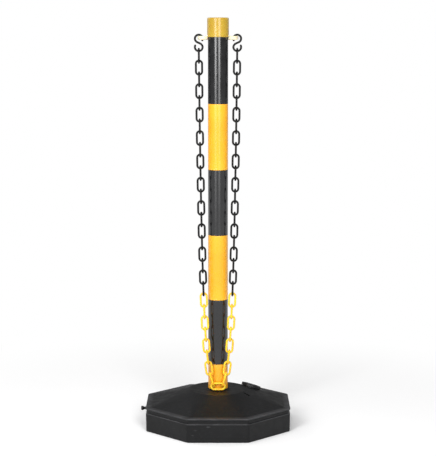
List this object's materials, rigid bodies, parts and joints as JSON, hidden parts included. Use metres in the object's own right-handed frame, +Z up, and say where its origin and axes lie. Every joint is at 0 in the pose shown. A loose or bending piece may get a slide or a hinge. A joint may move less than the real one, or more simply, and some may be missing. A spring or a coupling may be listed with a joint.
{
  "type": "plastic chain stanchion",
  "caption": "Free-standing plastic post with a hollow octagonal base, stacked black and yellow tubes, a capped head with two ears, and a chain hung on S-hooks from both ears.",
  "frame": {"origin": "centre of the base's underside, on the post's axis", "axes": "+Z up along the post; -Y is the front, where one flat side of the octagon faces; +X to the right, towards the fill cap"},
  "size_m": [0.3174, 0.305, 0.864],
  "materials": {
    "base_black": "satin blow-moulded polyethylene, fine texture",
    "fill_cap_black": "satin moulded plastic",
    "seal_rubber": "flat rubber washer",
    "plug_black": "soft rubber plug",
    "tube_black": "smooth extruded plastic with a soft gloss",
    "tube_yellow": "smooth extruded plastic with a soft gloss",
    "ring_cream": "natural cream-yellow moulded plastic",
    "cap_yellow": "satin moulded plastic, darker mustard yellow",
    "hook_black": "moulded black plastic",
    "chain_black": "moulded black plastic",
    "chain_yellow": "moulded yellow plastic, slightly translucent"
  },
  "bodies": {
    "base": {"base_shell": "base_black"},
    "fill_seal": {"fill_cap_seal": "seal_rubber"},
    "fill_cap": {"fill_cap": "fill_cap_black"},
    "side_plug": {"side_plug": "plug_black"},
    "tube_1": {"post_tube_1": "tube_yellow"},
    "tube_2": {"post_tube_2": "tube_black"},
    "tube_3": {"post_tube_3": "tube_yellow"},
    "tube_4": {"post_tube_4": "tube_black"},
    "tube_5": {"post_tube_5": "tube_yellow"},
    "tube_6": {"post_tube_6": "tube_black"},
    "ring": {"chain_ring": "ring_cream"},
    "cap": {"top_cap": "cap_yellow"},
    "hook_left": {"s_hook_left": "hook_black"},
    "hook_right": {"s_hook_right": "hook_black"},
    "chain": {"chain_links_01_02": "chain_black", "chain_links_03_04": "chain_black", "chain_links_05_06": "chain_black", "chain_links_07_08": "chain_black", "chain_links_09_10": "chain_black", "chain_links_11_12": "chain_black", "chain_links_13_14": "chain_black", "chain_links_15_16": "chain_black", "chain_links_17_18": "chain_black", "chain_links_19_20": "chain_black", "chain_link_21": "chain_black", "chain_link_22": "chain_yellow", "chain_link_23": "chain_yellow", "chain_link_24": "chain_yellow", "chain_link_25": "chain_yellow", "chain_link_26": "chain_yellow", "chain_link_27": "chain_yellow", "chain_link_28": "chain_yellow", "chain_link_29": "chain_yellow", "chain_link_30": "chain_yellow", "chain_link_31": "chain_yellow", "chain_link_32": "chain_yellow", "chain_link_33": "chain_yellow", "chain_link_34": "chain_yellow", "chain_link_35": "chain_yellow", "chain_link_36": "chain_yellow", "chain_link_37": "chain_yellow", "chain_link_38": "chain_yellow", "chain_link_39": "chain_black", "chain_links_40_41": "chain_black", "chain_links_42_43": "chain_black", "chain_links_44_45": "chain_black", "chain_links_46_47": "chain_black", "chain_links_48_49": "chain_black", "chain_links_50_51": "chain_black", "chain_links_52_53": "chain_black", "chain_links_54_55": "chain_black", "chain_links_56_57": "chain_black", "chain_links_58_59": "chain_black"}
  },
  "joints": [
    {"name": "fill_cap_lift", "type": "slide", "parent": "base", "child": "fill_seal", "axis": [0.2792, 0.1612, 0.9466], "range_m": [0, 0.0121]},
    {"name": "fill_cap_turn", "type": "hinge", "parent": "fill_seal", "child": "fill_cap", "pos_m": [0.07101, 0.041, 0.07033], "axis": [0.2792, 0.1612, 0.9466], "range_deg": [0, 720]},
    {"name": "side_plug_pull", "type": "slide", "parent": "base", "child": "side_plug", "axis": [-1, 0, 0], "range_m": [0, 0.012]},
    {"name": "post_lift", "type": "slide", "parent": "base", "child": "tube_1", "axis": [0, 0, 1], "range_m": [0, 0.048]},
    {"name": "tube_2_lift", "type": "slide", "parent": "tube_1", "child": "tube_2", "axis": [0, 0, 1], "range_m": [0, 0.027]},
    {"name": "tube_3_lift", "type": "slide", "parent": "tube_2", "child": "tube_3", "axis": [0, 0, 1], "range_m": [0, 0.027]},
    {"name": "tube_4_lift", "type": "slide", "parent": "tube_3", "child": "tube_4", "axis": [0, 0, 1], "range_m": [0, 0.027]},
    {"name": "tube_5_lift", "type": "slide", "parent": "tube_4", "child": "tube_5", "axis": [0, 0, 1], "range_m": [0, 0.027]},
    {"name": "tube_6_lift", "type": "slide", "parent": "tube_5", "child": "tube_6", "axis": [0, 0, 1], "range_m": [0, 0.027]},
    {"name": "head_swivel", "type": "hinge", "parent": "tube_6", "child": "ring", "pos_m": [0, 0, 0.826], "axis": [0, 0, 1], "continuous": true},
    {"name": "cap_lift", "type": "slide", "parent": "ring", "child": "cap", "axis": [0, 0, 1], "range_m": [0, 0.024]},
    {"name": "hook_left_swing", "type": "hinge", "parent": "ring", "child": "hook_left", "pos_m": [-0.04, 0, 0.8287], "axis": [-1, 0, 0], "range_deg": [0, 20]},
    {"name": "hook_right_swing", "type": "hinge", "parent": "ring", "child": "hook_right", "pos_m": [0.04, 0, 0.8287], "axis": [-1, 0, 0], "range_deg": [0, 20]},
    {"name": "chain_swing", "type": "hinge", "parent": "hook_left", "child": "chain", "pos_m": [-0.04, -0.00129, 0.79512], "axis": [-1, 0, 0], "range_deg": [0, 35]}
  ],
  "couplings": [
    {"joint": "fill_cap_lift", "follows": "fill_cap_turn", "m_per_rad": 0.00095493},
    {"joint": "hook_right_swing", "follows": "hook_left_swing", "ratio": 1}
  ]
}
